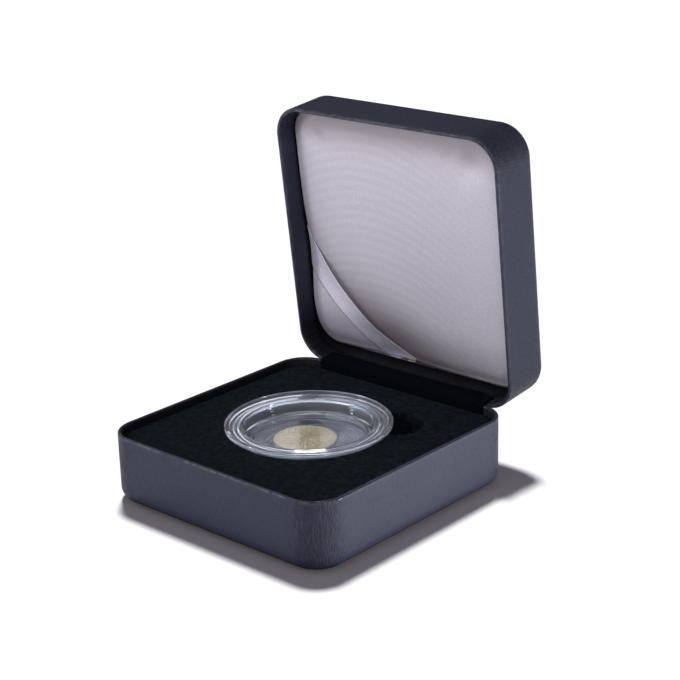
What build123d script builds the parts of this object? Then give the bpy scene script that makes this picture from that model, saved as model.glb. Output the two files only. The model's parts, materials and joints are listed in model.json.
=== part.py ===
from build123d import *
import os
from math import atan2, cos, degrees, hypot, radians, sin, sqrt

# A hinged presentation case for one encapsulated coin, modelled with its lid open.
# Millimetres, +Z up. The origin is the centre of the base's underside, +Y runs back
# to the hinge, and X lies along the hinge pin.

# Driving dimensions
case_size = 100.0        # the square outline of base and lid
corner_radius = 11.5     # vertical corners, outside
edge_radius = 5.0        # rolled edge round the underside and round the lid's top
rim_z = 25.2             # height of the base's rim
rim_gap = 0.25           # air between the two rims when the case is shut
lid_top_z = 47.1         # top of the shut lid
open_angle = 83.8        # the lid leans this far back from shut

skin = 0.5               # leatherette
plate = 0.5              # pressed sheet shells under it
turn_in = 8.0            # leatherette folded over the rim and glued inside
rim_bevel = 0.5          # soft edge of the folded leatherette
inner_bevel = 2.9        # the shells' lower edge, where the outside is rolled

hinge_y = 49.36          # pin axis, just inside the rear face
hinge_z = 24.45          # and just under the base's rim
pin_radius = 0.4
knuckle_radius = 0.8
pin_clearance = 0.05     # radial, in the lid's knuckles
hinge_half = 34.0        # half length of the pin
knuckle_gap = 0.3        # end play between knuckles
knuckle_count = 5        # alternately on the base's leaf and the lid's
barrel_clearance = 0.2
leaf_thickness = 0.3
leaf_reach = 6.8         # how far each leaf runs from the pin along its wall
rivet_places = (-27.0, 27.0)
rivet_edge = 2.0         # from a leaf's end to its rivets
rivet_radius = 0.7
rivet_head_radius = 1.3
rivet_hole_play = 0.03
snap_thickness = 0.2     # flat springs that click on the lid knuckles' flats
snap_width = 9.0
strip_thickness = 0.35   # leatherette strip that hides the hinge inside
glue_line = 0.06         # under the strip
strip_half = 38.5
strip_reach = 6.2

insert_gap = 0.2         # between the insert and the turned-in leatherette
deck_z = 22.7            # velvet top of the insert
velvet = 0.6
velvet_skirt = 7.0
deck_bevel = 1.6         # rounded edge of the velvet deck
well_radius = 25.3
well_floor_z = 14.3
notch_radius = 10.4      # thumb notch beside the capsule
notch_distance = 29.8    # from the capsule's axis
notch_angle = 48.0       # from +X towards the rear right corner
foot_bevel = 2.4         # the insert's lower edge, clear of the shell's

pad_side_x = 48.1        # satin pad in the lid
pad_front_y = -48.1
pad_rear_y = 46.0
pad_corner = 9.6
pad_edge_depth = 7.5     # edge of the pad's face below the lid's rim
pad_crown = 1.2          # its middle stands this much prouder
pad_slope = 7.0          # over this width
satin = 0.3
board_thickness = 1.0
board_depth = 11.05      # front of the board below the lid's rim
spacer_inset = 4.0       # clear of the shell's bevelled edge
ribbon_width = 9.7
ribbon_thickness = 0.25
ribbon_ends = ((-47.5, 3.2), (-10.8, 45.0))
ribbon_sag = 3.0         # towards the rear left corner

capsule_radius = 29.3    # outside of the flange
capsule_body_radius = 25.0
capsule_inner_radius = 23.75
capsule_bottom_z = 14.6
capsule_floor_z = 16.0
flange_low_z = 22.8
flange_shelf_z = 23.9
lip_top_z = 25.5
lip_inner_radius = 27.7
lip_bevel = 0.4
lens_low_z = 19.1
lens_top_z = 20.3
lens_radius = 22.5
lens_skirt_radius = 23.55
lens_flange_low_z = 24.0
lens_flange_top_z = 24.75
lens_flange_radius = 27.6
lens_bevel = 0.55
lens_step = 0.5          # the window's wall steps out and up by this under the flange

coin_radius = 11.15
coin_thickness = 1.9
coin_place_x = -1.9      # it lies loose, a little off the capsule's middle
coin_gap = 0.05
coin_rim = 1.1
coin_relief = 0.22
petal_count = 8
petal_start = 1.9        # petals are pointed, from this radius
petal_end = 7.6          # to this one
petal_half_width = 1.0
petal_height = 0.18      # a little under the relief's depth
boss_radius = 1.3

# Worked out from them
wall = 2 * skin + plate
rear_face_y = case_size / 2
shell_inner_y = rear_face_y - skin - plate
leaf_y = shell_inner_y - leaf_thickness
snap_y = leaf_y - snap_thickness
strip_outer_y = snap_y - glue_line
lid_rim_z = rim_z + rim_gap
lid_depth = lid_top_z - lid_rim_z
barrel_space = knuckle_radius + barrel_clearance
hinge_axis = Axis((0, hinge_y, hinge_z), (1, 0, 0))
notch_x = notch_distance * cos(radians(notch_angle))
notch_y = notch_distance * sin(radians(notch_angle))
above = 60.0             # past the top of anything that a cutter goes through


# Helpers
def slab(x_low, x_high, y_low, y_high, z_low, z_high):
    """A box between two corners."""
    middle = Pos((x_low + x_high) / 2, (y_low + y_high) / 2, (z_low + z_high) / 2)
    return middle * Box(x_high - x_low, y_high - y_low, z_high - z_low)


def prism(inset, low, high):
    """The case's outline, moved in by inset, between two heights."""
    side = case_size - 2 * inset
    outline = RectangleRounded(side, side, corner_radius - inset)
    return Pos(0, 0, low) * extrude(outline, high - low)


def rolled(low, high):
    """The outer block, its lower edge rolled."""
    block = prism(0, low, high)
    return fillet(block.faces().sort_by(Axis.Z)[0].edges(), edge_radius)


def bevelled(inset, low, high):
    """An inner layer's block, its lower edge bevelled to stay inside the roll."""
    block = prism(inset, low, high)
    length = inner_bevel - (inset - skin) * (2 - sqrt(2))
    return chamfer(block.faces().sort_by(Axis.Z)[0].edges(), length)


def edges_at(shape, height):
    """Every edge that lies flat at this height."""
    return shape.edges().filter_by(
        lambda edge: abs(edge.bounding_box().min.Z - height) < 1e-4
        and abs(edge.bounding_box().max.Z - height) < 1e-4
    )


def tub(depth):
    """Pressed shell and leatherette cover of a tray that stands on z = 0."""
    lined = skin + plate
    shell = bevelled(skin, skin, depth - skin) - bevelled(lined, lined, depth)
    hollow = bevelled(lined, lined, depth - turn_in)
    mouth = prism(wall, depth - turn_in, depth)
    cover = rolled(0, depth) - shell - hollow - mouth
    return shell, chamfer(edges_at(cover, depth), rim_bevel)


def lid_side_up(shape):
    """Turns a tray over and sets it on the rim, as the shut lid."""
    return Pos(0, 0, lid_top_z) * Rot(180, 0, 0) * shape


def opened(shape):
    """Swings a piece of the shut lid back to where the photograph shows it."""
    return shape.rotate(hinge_axis, -open_angle)


def along_pin(x_low, x_high, radius):
    """A cylinder on the hinge axis."""
    place = Pos((x_low + x_high) / 2, hinge_y, hinge_z)
    return place * Rot(0, 90, 0) * Cylinder(radius, x_high - x_low)


def through_wall(x, z, radius, y_low, y_high):
    """A cylinder across the rear wall, for rivets and their holes."""
    place = Pos(x, (y_low + y_high) / 2, z)
    return place * Rot(90, 0, 0) * Cylinder(radius, y_high - y_low)


# Hinge
knuckle_length = (2 * hinge_half - (knuckle_count - 1) * knuckle_gap) / knuckle_count
knuckle_starts = [
    -hinge_half + place * (knuckle_length + knuckle_gap) for place in range(knuckle_count)
]
knuckle_spans = [(start, start + knuckle_length) for start in knuckle_starts]
base_spans = knuckle_spans[0::2]
lid_spans = knuckle_spans[1::2]


def leaf(own_spans, other_spans, direction, bore, rivet_z):
    """One hinge leaf: direction is -1 down the base's wall and 1 up the lid's."""
    reach_z = hinge_z + direction * leaf_reach
    low, high = sorted((hinge_z, reach_z))
    body = slab(-hinge_half, hinge_half, leaf_y, shell_inner_y, low, high)
    space_z = hinge_z + direction * barrel_space
    space_low, space_high = sorted((hinge_z, space_z))
    for start, end in other_spans:
        body -= slab(
            start - knuckle_gap, end + knuckle_gap, leaf_y, shell_inner_y, space_low, space_high
        )
    for start, end in own_spans:
        body += along_pin(start, end, knuckle_radius)
    body -= along_pin(-hinge_half - 1, hinge_half + 1, bore)
    for x in rivet_places:
        body -= through_wall(x, rivet_z, rivet_radius + rivet_hole_play, leaf_y, shell_inner_y)
    return body


def knuckle_flats():
    """Cutters for the flats that the snap springs rest on, shut and open."""
    flat = slab(
        -hinge_half,
        hinge_half,
        leaf_y - knuckle_radius,
        leaf_y,
        hinge_z - knuckle_radius,
        hinge_z + knuckle_radius,
    )
    return [flat, flat.rotate(hinge_axis, open_angle)]


def rivets(rivet_z):
    """Low-headed rivets that clinch a leaf to its shell."""
    group = []
    for x in rivet_places:
        head = through_wall(x, rivet_z, rivet_head_radius, snap_y, leaf_y)
        shank = through_wall(x, rivet_z, rivet_radius, leaf_y, rear_face_y - skin)
        group.append(head + shank)
    return Compound(children=group)


def rivet_holes(rivet_z):
    hole = rivet_radius + rivet_hole_play
    return [
        through_wall(x, rivet_z, hole, shell_inner_y - skin, rear_face_y - skin)
        for x in rivet_places
    ]


def hinge_strip():
    """Flexible strip glued to both rear walls and bent round the knuckles."""
    inner = hinge_y - strip_outer_y
    outer = inner + strip_thickness
    upright = slab(
        -strip_half, strip_half, hinge_y - outer, hinge_y - inner, hinge_z - strip_reach, hinge_z
    )
    top_face = upright.faces().sort_by(Axis.Z)[-1]
    bend = revolve(top_face, hinge_axis, -open_angle)
    tail = slab(
        -strip_half, strip_half, hinge_y - outer, hinge_y - inner, hinge_z, hinge_z + strip_reach
    )
    return upright + bend + opened(tail)


def snap_spring(middle_x):
    return slab(
        middle_x - snap_width / 2,
        middle_x + snap_width / 2,
        snap_y,
        leaf_y,
        hinge_z - leaf_reach,
        hinge_z,
    )


base_rivet_z = hinge_z - leaf_reach + rivet_edge
lid_rivet_z = hinge_z + leaf_reach - rivet_edge
hinge_base_leaf = leaf(base_spans, lid_spans, -1, pin_radius, base_rivet_z)
hinge_lid_leaf = leaf(lid_spans, base_spans, 1, pin_radius + pin_clearance, lid_rivet_z)
for flat in knuckle_flats():
    hinge_lid_leaf -= flat
hinge_pin = along_pin(-hinge_half, hinge_half, pin_radius)
lid_knuckle_middles = [(start + end) / 2 for start, end in lid_spans]


# Base
def base_tray():
    shell, cover = tub(rim_z)
    slot_half = hinge_half + 2 * barrel_clearance
    barrel_slot = slab(
        -slot_half, slot_half, strip_outer_y - skin, above, hinge_z - barrel_space, above
    )
    leaf_slot = slab(
        -slot_half, slot_half, strip_outer_y - skin, shell_inner_y, rim_z - turn_in - 1, above
    )
    for hole in rivet_holes(base_rivet_z):
        shell -= hole
    return shell - barrel_slot, cover - barrel_slot - leaf_slot


def insert_outline(inset):
    side = wall + insert_gap + inset
    rear = rear_face_y - strip_outer_y + strip_thickness + insert_gap + inset
    width = case_size - 2 * side
    depth = case_size - side - rear
    shape = RectangleRounded(width, depth, corner_radius - wall - insert_gap - inset)
    return Pos(0, (side - rear) / 2) * shape


def insert_form(inset, low, high):
    """The insert's outer form, with its deck edge eased."""
    block = Pos(0, 0, low) * extrude(insert_outline(inset), high - low)
    length = deck_bevel - inset * (2 - sqrt(2))
    return chamfer(block.faces().sort_by(Axis.Z)[-1].edges(), length)


def pocket(grow):
    """Capsule well and thumb notch, as a cutter."""
    low = well_floor_z - grow
    height = above - low
    at_bottom = (Align.CENTER, Align.CENTER, Align.MIN)
    well = Pos(0, 0, low) * Cylinder(well_radius + grow, height, align=at_bottom)
    notch = Pos(notch_x, notch_y, low) * Cylinder(notch_radius + grow, height, align=at_bottom)
    return well + notch


def insert_pieces():
    block = insert_form(velvet, skin + plate, deck_z - velvet)
    block = chamfer(edges_at(block, skin + plate), foot_bevel) - pocket(velvet)
    below_deck = deck_z - velvet
    lining = pocket(velvet) & slab(-above, above, -above, above, 0, below_deck)
    cloth = insert_form(0, deck_z - velvet_skirt, deck_z)
    cloth -= insert_form(velvet, deck_z - 2 * velvet_skirt, deck_z - velvet)
    return block, cloth + lining - pocket(0)


# Lid, built shut
def lid_tray():
    shell, cover = (lid_side_up(shape) for shape in tub(lid_depth))
    slot_half = hinge_half + 2 * barrel_clearance
    leaf_slot = slab(
        -slot_half, slot_half, strip_outer_y - skin, shell_inner_y, 0, lid_rim_z + turn_in + 1
    )
    for hole in rivet_holes(lid_rivet_z):
        shell -= hole
    return shell, cover - leaf_slot


def pad_outline(inset):
    width = 2 * (pad_side_x - inset)
    depth = pad_rear_y - pad_front_y - 2 * inset
    middle_y = (pad_front_y + pad_rear_y) / 2
    return Pos(0, middle_y) * RectangleRounded(width, depth, pad_corner - inset)


def pad_form(inset, back_z):
    """Crowned pad, its face towards the opening, out to this far inside its cloth."""
    edge_z = lid_rim_z + pad_edge_depth + inset
    outline = pad_outline(inset)
    body = Pos(0, 0, edge_z) * extrude(outline, back_z - edge_z)
    slope_angle = degrees(atan2(pad_slope, pad_crown))
    crown = extrude(outline, pad_crown, taper=slope_angle)
    return body + Pos(0, 0, edge_z) * mirror(crown, Plane.XY)


def ribbon_ring():
    """The ribbon's course: a shallow arc that sags to the rear left corner."""
    (x0, y0), (x1, y1) = ribbon_ends
    chord = hypot(x1 - x0, y1 - y0)
    radius = chord**2 / (8 * ribbon_sag) + ribbon_sag / 2
    across_x = (y1 - y0) / chord
    across_y = -(x1 - x0) / chord
    centre_x = (x0 + x1) / 2 + across_x * (radius - ribbon_sag)
    centre_y = (y0 + y1) / 2 + across_y * (radius - ribbon_sag)
    band = Circle(radius + ribbon_width / 2) - Circle(radius - ribbon_width / 2)
    return extrude(Pos(centre_x, centre_y, 0) * band, above)


def pad_pieces():
    board_front_z = lid_rim_z + board_depth
    board_back_z = board_front_z + board_thickness
    spacer = lid_side_up(prism(spacer_inset, skin + plate, lid_top_z - board_back_z))
    outer = pad_form(0, board_back_z)
    inner = pad_form(satin, board_back_z)
    front = slab(-above, above, -above, above, 0, board_front_z)
    foam = inner & front
    board = inner - front
    cloth = outer - inner
    ribbon = (pad_form(-ribbon_thickness, board_back_z) - outer) & ribbon_ring()
    return spacer, board, foam, cloth, ribbon


# Capsule and coin
def turned(points):
    """A solid of revolution about Z from (radius, height) corners."""
    outline = make_face(Polyline([(r, 0, z) for r, z in points], close=True))
    return revolve(outline, Axis.Z)


def capsule_base():
    """Round tray with a flange, and a lip that the lid sits inside."""
    return turned(
        [
            (0, capsule_bottom_z),
            (capsule_body_radius, capsule_bottom_z),
            (capsule_body_radius, flange_low_z),
            (capsule_radius, flange_low_z),
            (capsule_radius, lip_top_z - lip_bevel),
            (capsule_radius - lip_bevel, lip_top_z),
            (lip_inner_radius, lip_top_z),
            (lip_inner_radius, flange_shelf_z),
            (capsule_inner_radius, flange_shelf_z),
            (capsule_inner_radius, capsule_floor_z),
            (0, capsule_floor_z),
        ]
    )


def capsule_lid():
    """Clear lid: a flange inside the lip, a skirt, and a window sunk below them."""
    return turned(
        [
            (0, lens_low_z),
            (lens_skirt_radius, lens_low_z),
            (lens_skirt_radius, lens_flange_low_z),
            (lens_flange_radius, lens_flange_low_z),
            (lens_flange_radius, lens_flange_top_z - lens_bevel),
            (lens_flange_radius - lens_bevel, lens_flange_top_z),
            (lens_radius + 2 * lens_step, lens_flange_top_z),
            (lens_radius + lens_step, lens_flange_top_z - lens_step),
            (lens_radius, lens_top_z),
            (0, lens_top_z),
        ]
    )


def coin():
    """Blank with raised rims and a plain rosette of pointed petals on its upper face."""
    low = capsule_floor_z + coin_gap
    at_bottom = (Align.CENTER, Align.CENTER, Align.MIN)
    piece = Cylinder(coin_radius, coin_thickness, align=at_bottom)
    field = Cylinder(coin_radius - coin_rim, coin_relief, align=at_bottom)
    piece -= field
    face_z = coin_thickness - coin_relief
    piece -= Pos(0, 0, face_z) * field
    middle = (petal_start + petal_end) / 2
    outline = Polyline(
        (petal_start, 0),
        (middle, -petal_half_width),
        (petal_end, 0),
        (middle, petal_half_width),
        close=True,
    )
    petal = extrude(make_face(outline), petal_height)
    raised = Pos(0, 0, face_z) * Cylinder(boss_radius, petal_height, align=at_bottom)
    for turn in range(petal_count):
        angle = 360 * turn / petal_count
        raised += Rot(0, 0, angle) * Pos(0, 0, face_z) * petal
    return Pos(coin_place_x, 0, low) * (piece + raised)


# The pieces
base_shell, base_cover = base_tray()
insert_block, insert_velvet = insert_pieces()
lid_shell, lid_cover = lid_tray()
lid_spacer, lid_board, lid_foam, lid_satin, lid_ribbon = pad_pieces()

pieces = {
    "base_shell": base_shell,
    "base_cover": base_cover,
    "insert_block": insert_block,
    "insert_velvet": insert_velvet,
    "hinge_base_leaf": hinge_base_leaf,
    "hinge_base_rivets": rivets(base_rivet_z),
    "hinge_pin": hinge_pin,
    "snap_spring_left": snap_spring(lid_knuckle_middles[0]),
    "snap_spring_right": snap_spring(lid_knuckle_middles[1]),
    "hinge_strip": hinge_strip(),
    "lid_shell": opened(lid_shell),
    "lid_cover": opened(lid_cover),
    "lid_spacer": opened(lid_spacer),
    "lid_board": opened(lid_board),
    "lid_foam": opened(lid_foam),
    "lid_satin": opened(lid_satin),
    "lid_ribbon": opened(lid_ribbon),
    "hinge_lid_leaf": opened(hinge_lid_leaf),
    "hinge_lid_rivets": opened(rivets(lid_rivet_z)),
    "capsule_base": capsule_base(),
    "capsule_lid": capsule_lid(),
    "coin": coin(),
}

os.makedirs("parts", exist_ok=True)
for name, piece in pieces.items():
    export_step(piece, f"parts/{name}.step")
    print(name, len(piece.solids()), round(piece.volume))
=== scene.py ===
import bpy
import bmesh
import json
import numpy as np
from math import atan2, cos, hypot, pi, radians, sin
from mathutils import Matrix, Vector, noise


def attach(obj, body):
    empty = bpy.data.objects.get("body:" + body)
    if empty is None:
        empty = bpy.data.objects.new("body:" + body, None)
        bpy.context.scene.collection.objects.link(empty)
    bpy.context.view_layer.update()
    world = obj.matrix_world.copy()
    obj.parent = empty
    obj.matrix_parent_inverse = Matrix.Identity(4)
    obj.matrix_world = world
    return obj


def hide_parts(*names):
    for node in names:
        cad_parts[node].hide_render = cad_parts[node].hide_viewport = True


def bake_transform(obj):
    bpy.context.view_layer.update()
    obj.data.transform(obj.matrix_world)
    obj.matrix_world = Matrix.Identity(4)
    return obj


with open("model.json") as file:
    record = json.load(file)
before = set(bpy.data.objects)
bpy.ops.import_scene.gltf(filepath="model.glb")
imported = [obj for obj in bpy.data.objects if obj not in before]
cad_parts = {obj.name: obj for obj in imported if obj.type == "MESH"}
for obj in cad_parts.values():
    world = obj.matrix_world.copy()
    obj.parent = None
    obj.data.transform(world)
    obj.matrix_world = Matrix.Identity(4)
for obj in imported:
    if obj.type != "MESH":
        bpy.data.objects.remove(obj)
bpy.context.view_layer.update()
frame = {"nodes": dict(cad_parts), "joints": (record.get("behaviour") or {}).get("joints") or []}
print("frame loaded")

# Lengths below are millimetres. Lid pieces are shaped with the lid shut and then swung open on the pin.
mm = 0.001
lidHinge = next(joint for joint in frame["joints"] if joint["name"] == "lid_hinge")
pinAt = np.array(lidHinge["pos_m"]) / mm
openAngle = radians(lidHinge["range_deg"][1])


def swung(points, angle):
    moved = np.array(points, float)
    y, z = moved[..., 1] - pinAt[1], moved[..., 2] - pinAt[2]
    moved[..., 1] = pinAt[1] + y * cos(angle) - z * sin(angle)
    moved[..., 2] = pinAt[2] + y * sin(angle) + z * cos(angle)
    return moved


def opened(points):
    return swung(points, -openAngle)


def nodeBox(name, shut=False):
    spots = np.array([vertex.co for vertex in frame["nodes"][name].data.vertices]) / mm
    if shut:
        spots = swung(spots, openAngle)
    return spots.min(0), spots.max(0)


def smooth(edge0, edge1, value):
    share = np.clip((value - edge0) / (edge1 - edge0), 0, 1)
    return share * share * (3 - 2 * share)


def bump(distance, width):
    return np.exp(-((distance / width) ** 2))


def pieceFrom(name, rings, body=None, uv=None, closeEnds=True, wrap=True):
    # rings is an array of rings by points by three; each ring is a closed loop when wrap is set
    ringCount, pointCount = rings.shape[:2]
    numbers = np.arange(ringCount * pointCount).reshape(ringCount, pointCount)
    joined = np.column_stack([numbers, numbers[:, 0]]) if wrap else numbers
    corners = [joined[:-1, :-1], joined[:-1, 1:], joined[1:, 1:], joined[1:, :-1]]
    faces = np.stack(corners, -1).reshape(-1, 4).tolist()
    if closeEnds:
        faces += [numbers[0].tolist(), numbers[-1].tolist()]
    mesh = bpy.data.meshes.new(name)
    mesh.from_pydata((rings.reshape(-1, 3) * mm).tolist(), [], faces)
    if uv is not None:
        flat = uv.reshape(-1, 2)
        layer = mesh.uv_layers.new(name="cloth")
        for loop in mesh.loops:
            layer.data[loop.index].uv = flat[loop.vertex_index]
    edit = bmesh.new()
    edit.from_mesh(mesh)
    bmesh.ops.recalc_face_normals(edit, faces=edit.faces)
    if edit.calc_volume(signed=True) < 0:
        bmesh.ops.reverse_faces(edit, faces=edit.faces)
    edit.to_mesh(mesh)
    edit.free()
    mesh.shade_smooth()
    piece = bpy.data.objects.new(name, mesh)
    bpy.context.scene.collection.objects.link(piece)
    if body:
        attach(piece, body)
    return piece


def raised(outline, height):
    # a flat outline lifted to one height, or to a height for each point
    return np.column_stack([outline, np.broadcast_to(height, len(outline))])


def quarterTurn(steps, first=0):
    return [step / steps * pi / 2 for step in range(first, steps + 1)]


def squareLoop(halfX, lowY, highY, radius, sideSteps, cornerSteps):
    # a rounded rectangle with its outward directions, always the same number of points
    points, normals = [], []
    corners = [
        (halfX - radius, lowY + radius, -pi / 2),
        (halfX - radius, highY - radius, 0),
        (-halfX + radius, highY - radius, pi / 2),
        (-halfX + radius, lowY + radius, pi),
    ]
    for place, (x, y, start) in enumerate(corners):
        for step in range(cornerSteps + 1):
            angle = start + step / cornerSteps * pi / 2
            points.append((x + radius * cos(angle), y + radius * sin(angle)))
            normals.append((cos(angle), sin(angle)))
        nextX, nextY, nextStart = corners[(place + 1) % 4]
        fromX, fromY = points[-1]
        toX = nextX + radius * cos(nextStart)
        toY = nextY + radius * sin(nextStart)
        for step in range(1, sideSteps):
            share = step / sideSteps
            points.append((fromX + (toX - fromX) * share, fromY + (toY - fromY) * share))
            normals.append(normals[-1])
    return np.array(points), np.array(normals)


def filleted(points, radii, steps=5):
    # rounds the corners of an open profile
    made = [points[0]]
    for before, corner, after, radius in zip(points, points[1:], points[2:], radii[1:]):
        before, corner, after = (np.array(spot, float) for spot in (before, corner, after))
        towards, onwards = before - corner, after - corner
        reach = min(radius, np.linalg.norm(towards) / 2, np.linalg.norm(onwards) / 2)
        start = corner + towards / np.linalg.norm(towards) * reach
        end = corner + onwards / np.linalg.norm(onwards) * reach
        for step in range(steps + 1):
            share = step / steps
            bend = start * (1 - share) ** 2 + corner * 2 * share * (1 - share) + end * share**2
            made.append(tuple(bend))
    made.append(points[-1])
    return made


def wrinkle(points, size, depth, seed=0.0):
    # slow unevenness of a hand-covered surface
    shift = np.array([noise.noise(Vector((spot + seed) / size)) for spot in points.reshape(-1, 3)])
    return depth * shift.reshape(points.shape[:-1])


def linear(red, green, blue):
    # a colour given as it is seen on screen, 0 to 255
    parts = [channel / 255 for channel in (red, green, blue)]
    parts = [part / 12.92 if part <= 0.04045 else ((part + 0.055) / 1.055) ** 2.4 for part in parts]
    return (*parts, 1.0)


def feed(tree, socket, value):
    # a link from another node's output, or a fixed value
    if isinstance(value, bpy.types.NodeSocket):
        tree.links.new(value, socket)
    else:
        socket.default_value = value


def addNode(tree, kind, inputs=None, **settings):
    made = tree.nodes.new(kind)
    for name, value in settings.items():
        setattr(made, name, value)
    for name, value in (inputs or {}).items():
        feed(tree, made.inputs[name], value)
    return made


def mathNode(tree, operation, first, second=0.0):
    return addNode(tree, "ShaderNodeMath", {0: first, 1: second}, operation=operation).outputs[0]


def times(tree, first, second):
    return mathNode(tree, "MULTIPLY", first, second)


def plus(tree, first, second):
    return mathNode(tree, "ADD", first, second)


def minus(tree, first, second):
    return mathNode(tree, "SUBTRACT", first, second)


def wave(tree, turns):
    return mathNode(tree, "SINE", times(tree, turns, 2 * pi))


def mixColour(tree, share, first, second):
    # sockets 6 and 7 of a Mix node are its two colours, and output 2 the mixed one
    return addNode(tree, "ShaderNodeMix", {0: share, 6: first, 7: second}, data_type="RGBA").outputs[2]


def ramp(tree, value, low, high, toLow=0.0, toHigh=1.0):
    given = {"Value": value, "From Min": low, "From Max": high, "To Min": toLow, "To Max": toHigh}
    return addNode(tree, "ShaderNodeMapRange", given, interpolation_type="SMOOTHSTEP").outputs["Result"]


def band(tree, value, span, toLow=0.0, toHigh=1.0):
    # a ramp between two places given in millimetres
    return ramp(tree, value, span[0] * mm, span[1] * mm, toLow, toHigh)


def noiseField(tree, vector, scale, detail, roughness=0.5):
    given = {"Vector": vector, "Scale": scale, "Detail": detail, "Roughness": roughness}
    return addNode(tree, "ShaderNodeTexNoise", given).outputs["Fac"]


def axesOf(tree, vector):
    return addNode(tree, "ShaderNodeSeparateXYZ", {0: vector}).outputs


def startGroup(name, inputs, outputs):
    # every group takes a vector and some numbers, and gives numbers
    group = bpy.data.node_groups.new(name, "ShaderNodeTree")
    group.interface.new_socket("Vector", in_out="INPUT", socket_type="NodeSocketVector")
    for socketName, value in inputs.items():
        socket = group.interface.new_socket(socketName, in_out="INPUT", socket_type="NodeSocketFloat")
        socket.default_value = value
    for socketName in outputs:
        group.interface.new_socket(socketName, in_out="OUTPUT", socket_type="NodeSocketFloat")
    return group, group.nodes.new("NodeGroupInput").outputs, group.nodes.new("NodeGroupOutput").inputs


noiseSpan = (0.3, 0.7)  # most of a noise texture's values lie between these
grainPattern = {
    "creases": (0.32, 0.68),
    "creaseRoughness": 0.6,
    "pebble": 0.35,
    "patchScale": 45.0,
    "patches": (0.35, 0.65),
}


def makeGrainGroup():
    # pressed leatherette grain: long fine creases along Z, broken by a pebble
    group, given, out = startGroup(
        "pressedGrain", {"Scale": 1400.0, "Stretch": 0.12}, ("Height", "Creases", "Patches")
    )
    vector, scale = given["Vector"], given["Scale"]
    squeeze = addNode(group, "ShaderNodeCombineXYZ", {0: 1.0, 1: 1.0, 2: given["Stretch"]}).outputs[0]
    along = addNode(group, "ShaderNodeVectorMath", {0: vector, 1: squeeze}, operation="MULTIPLY").outputs[0]
    creases = noiseField(group, along, scale, 4.0, grainPattern["creaseRoughness"])
    creases = ramp(group, creases, *grainPattern["creases"])
    pebble = addNode(group, "ShaderNodeTexVoronoi", {"Vector": vector, "Scale": scale}).outputs["Distance"]
    patches = noiseField(group, vector, grainPattern["patchScale"], 3.0)
    feed(group, out["Height"], plus(group, creases, times(group, pebble, grainPattern["pebble"])))
    feed(group, out["Creases"], creases)
    feed(group, out["Patches"], ramp(group, patches, *grainPattern["patches"]))
    return group


weavePattern = {"swayScale": 60.0, "ribShare": 0.6, "fleckScale": 1500.0, "fleckShare": 0.4}


def makeWeaveGroup():
    # warp and weft of a ribbed satin, across X and Y of the vector
    group, given, out = startGroup(
        "satinWeave", {"Ribs": 2.0, "Threads": 3.0, "Slub": 0.5}, ("Height", "Shade")
    )
    vector = given["Vector"]
    axes = axesOf(group, vector)
    sway = times(group, noiseField(group, vector, weavePattern["swayScale"], 2.0), given["Slub"])
    rib, thread = (
        wave(group, plus(group, times(group, axes[axis], given[count]), sway))
        for axis, count in (("Y", "Ribs"), ("X", "Threads"))
    )
    ribShare, fleckShare = weavePattern["ribShare"], weavePattern["fleckShare"]
    crossed = times(group, times(group, rib, thread), 1 - ribShare)
    height = plus(group, times(group, plus(group, times(group, rib, ribShare), crossed), 0.5), 0.5)
    flecks = ramp(group, noiseField(group, vector, weavePattern["fleckScale"], 1.0), *noiseSpan)
    shade = plus(group, times(group, height, 1 - fleckShare), times(group, flecks, fleckShare))
    feed(group, out["Height"], height)
    feed(group, out["Shade"], shade)
    return group


fleckPattern = {"patches": (0.35, 0.68)}


def makeFleckGroup():
    # uneven colour and fine tooth, for nap, plastic, card and metal
    group, given, out = startGroup(
        "unevenness", {"Patch Scale": 60.0, "Tooth Scale": 1500.0}, ("Patches", "Tooth")
    )
    patches = noiseField(group, given["Vector"], given["Patch Scale"], 5.0)
    feed(group, out["Patches"], ramp(group, patches, *fleckPattern["patches"]))
    feed(group, out["Tooth"], noiseField(group, given["Vector"], given["Tooth Scale"], 3.0))
    return group


grainGroup = makeGrainGroup()
weaveGroup = makeWeaveGroup()
fleckGroup = makeFleckGroup()


def startMaterial(name, settings):
    material = bpy.data.materials.new(name)
    material.use_nodes = True
    tree = material.node_tree
    shader = tree.nodes["Principled BSDF"]
    for socketName, value in settings.items():
        shader.inputs[socketName].default_value = value
    return material, tree, shader


def placedGroup(tree, group, vector, values):
    return addNode(tree, "ShaderNodeGroup", {"Vector": vector, **values}, node_tree=group).outputs


def caseCoordinates(tree, onLid=False):
    # object coordinates, on the lid those of the shut lid
    coordinates = addNode(tree, "ShaderNodeTexCoord").outputs["Object"]
    if not onLid:
        return coordinates
    shift = tuple(swung([0.0, 0.0, 0.0], openAngle) * mm)
    shut = {"Vector": coordinates, "Rotation": (openAngle, 0, 0), "Location": shift}
    return addNode(tree, "ShaderNodeMapping", shut).outputs["Vector"]


def placedFlecks(tree, look):
    scales = {"Patch Scale": look["patchScale"], "Tooth Scale": look["toothScale"]}
    return placedGroup(tree, fleckGroup, caseCoordinates(tree), scales)


def placedWeave(tree, vector, look):
    counts = {"Ribs": 1 / (look["ribPitch"] * mm), "Threads": 1 / (look["threadPitch"] * mm)}
    return placedGroup(tree, weaveGroup, vector, {**counts, "Slub": look["slub"]})


def addBump(tree, shader, height, bumps):
    # bumps holds a strength and a depth
    strength, depth = bumps
    made = addNode(tree, "ShaderNodeBump", {"Height": height, "Strength": strength, "Distance": depth * mm})
    feed(tree, shader.inputs["Normal"], made.outputs["Normal"])


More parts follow.
